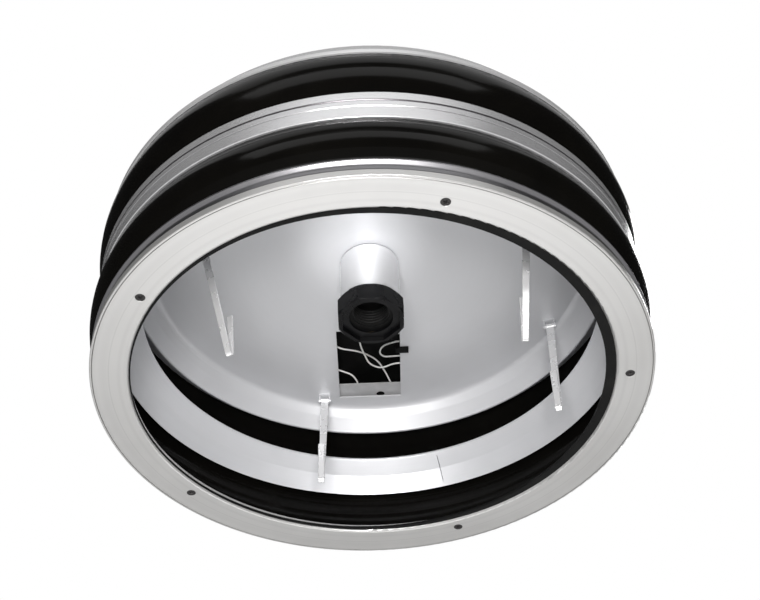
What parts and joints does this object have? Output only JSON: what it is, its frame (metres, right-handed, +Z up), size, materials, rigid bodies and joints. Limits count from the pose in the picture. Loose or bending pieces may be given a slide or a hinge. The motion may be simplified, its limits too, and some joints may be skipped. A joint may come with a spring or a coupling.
{
  "type": "ceiling light fitting",
  "caption": "Drum-shaped surface ceiling light fitting with black side bands, bright rings, a central lampholder and swinging glass hooks; the glass is out.",
  "frame": {"origin": "centre of the drum in the plane where the top ring meets the ceiling", "axes": "+Z up into the ceiling along the drum's axis; +Y from the lampholder to the service opening; +X to the right"},
  "size_m": [0.407, 0.407, 0.152],
  "materials": {
    "polished_ring": "polished",
    "satin_pan": "satin",
    "black_gloss": "gloss",
    "polished_trim": "polished",
    "satin_reflector": "satin",
    "satin_face": "satin",
    "black_rubber": "matt",
    "dark_screw": "blackened",
    "zinc_steel": "zinc plated",
    "black_plastic": "matt",
    "grey_strap": "brushed",
    "dark_plastic": "matt",
    "white_wire": "smooth",
    "polished_cup": "polished",
    "black_ceramic": "satin",
    "dark_socket": "satin",
    "brass_contact": "polished",
    "black_bakelite": "gloss",
    "strap_steel": "bright"
  },
  "bodies": {
    "housing": {"top_ring": "polished_ring", "back_pan": "satin_pan", "drum_shell": "black_gloss", "mid_trim_ring": "polished_trim", "mid_reflector_ring": "satin_reflector", "face_ring": "satin_face", "edge_seal": "black_rubber", "face_screws": "dark_screw", "face_nuts": "zinc_steel", "ceiling_bar": "zinc_steel", "wiring_box": "black_plastic", "box_screws": "zinc_steel", "cable_strap": "grey_strap", "earth_screws": "zinc_steel", "terminal_block": "dark_plastic", "terminal_screws": "zinc_steel", "cable_clip": "black_plastic", "neutral_wire": "white_wire", "live_wire": "white_wire", "loop_wire": "white_wire", "earth_wire": "white_wire", "pan_earth_wire": "white_wire", "holder_cup": "polished_cup", "holder_nipple": "zinc_steel", "holder_nuts": "zinc_steel", "holder_washers": "zinc_steel", "socket_insert": "black_ceramic", "thread_sleeve": "dark_socket", "hook_pins": "zinc_steel", "hook_lug_front_left": "zinc_steel", "hook_lug_front_right": "zinc_steel", "hook_lug_rear_right": "zinc_steel", "hook_lug_rear_left": "zinc_steel"},
    "socket_collar": {"collar": "black_bakelite"},
    "contact": {"centre_contact": "brass_contact"},
    "hook_front_left": {"hook_strap_front_left": "strap_steel"},
    "hook_front_right": {"hook_strap_front_right": "strap_steel"},
    "hook_rear_right": {"hook_strap_rear_right": "strap_steel"},
    "hook_rear_left": {"hook_strap_rear_left": "strap_steel"}
  },
  "joints": [
    {"name": "collar_turn", "type": "hinge", "parent": "housing", "child": "socket_collar", "pos_m": [0, 0, -0.0755], "axis": [0, 0, 1], "continuous": true},
    {"name": "contact_press", "type": "slide", "parent": "housing", "child": "contact", "axis": [0, 0, 1], "range_m": [0, 0.0015], "stiffness_N_per_m": 900, "springref_m": -0.0005},
    {"name": "hook_front_left_swing", "type": "hinge", "parent": "housing", "child": "hook_front_left", "pos_m": [-0.1289, -0.08055, -0.0271], "axis": [0.8746, -0.4848, 0], "range_deg": [-27, 38]},
    {"name": "hook_front_right_swing", "type": "hinge", "parent": "housing", "child": "hook_front_right", "pos_m": [0.11644, -0.0977, -0.0271], "axis": [0.9976, 0.0698, 0], "range_deg": [-41, 24]},
    {"name": "hook_rear_right_swing", "type": "hinge", "parent": "housing", "child": "hook_rear_right", "pos_m": [0.14506, 0.07391, -0.0271], "axis": [-0.9703, 0.2419, 0], "range_deg": [-18, 47]},
    {"name": "hook_rear_left_swing", "type": "hinge", "parent": "housing", "child": "hook_rear_left", "pos_m": [-0.04203, 0.15687, -0.0271], "axis": [-0.9998, 0.0175, 0], "range_deg": [-20, 45]}
  ]
}
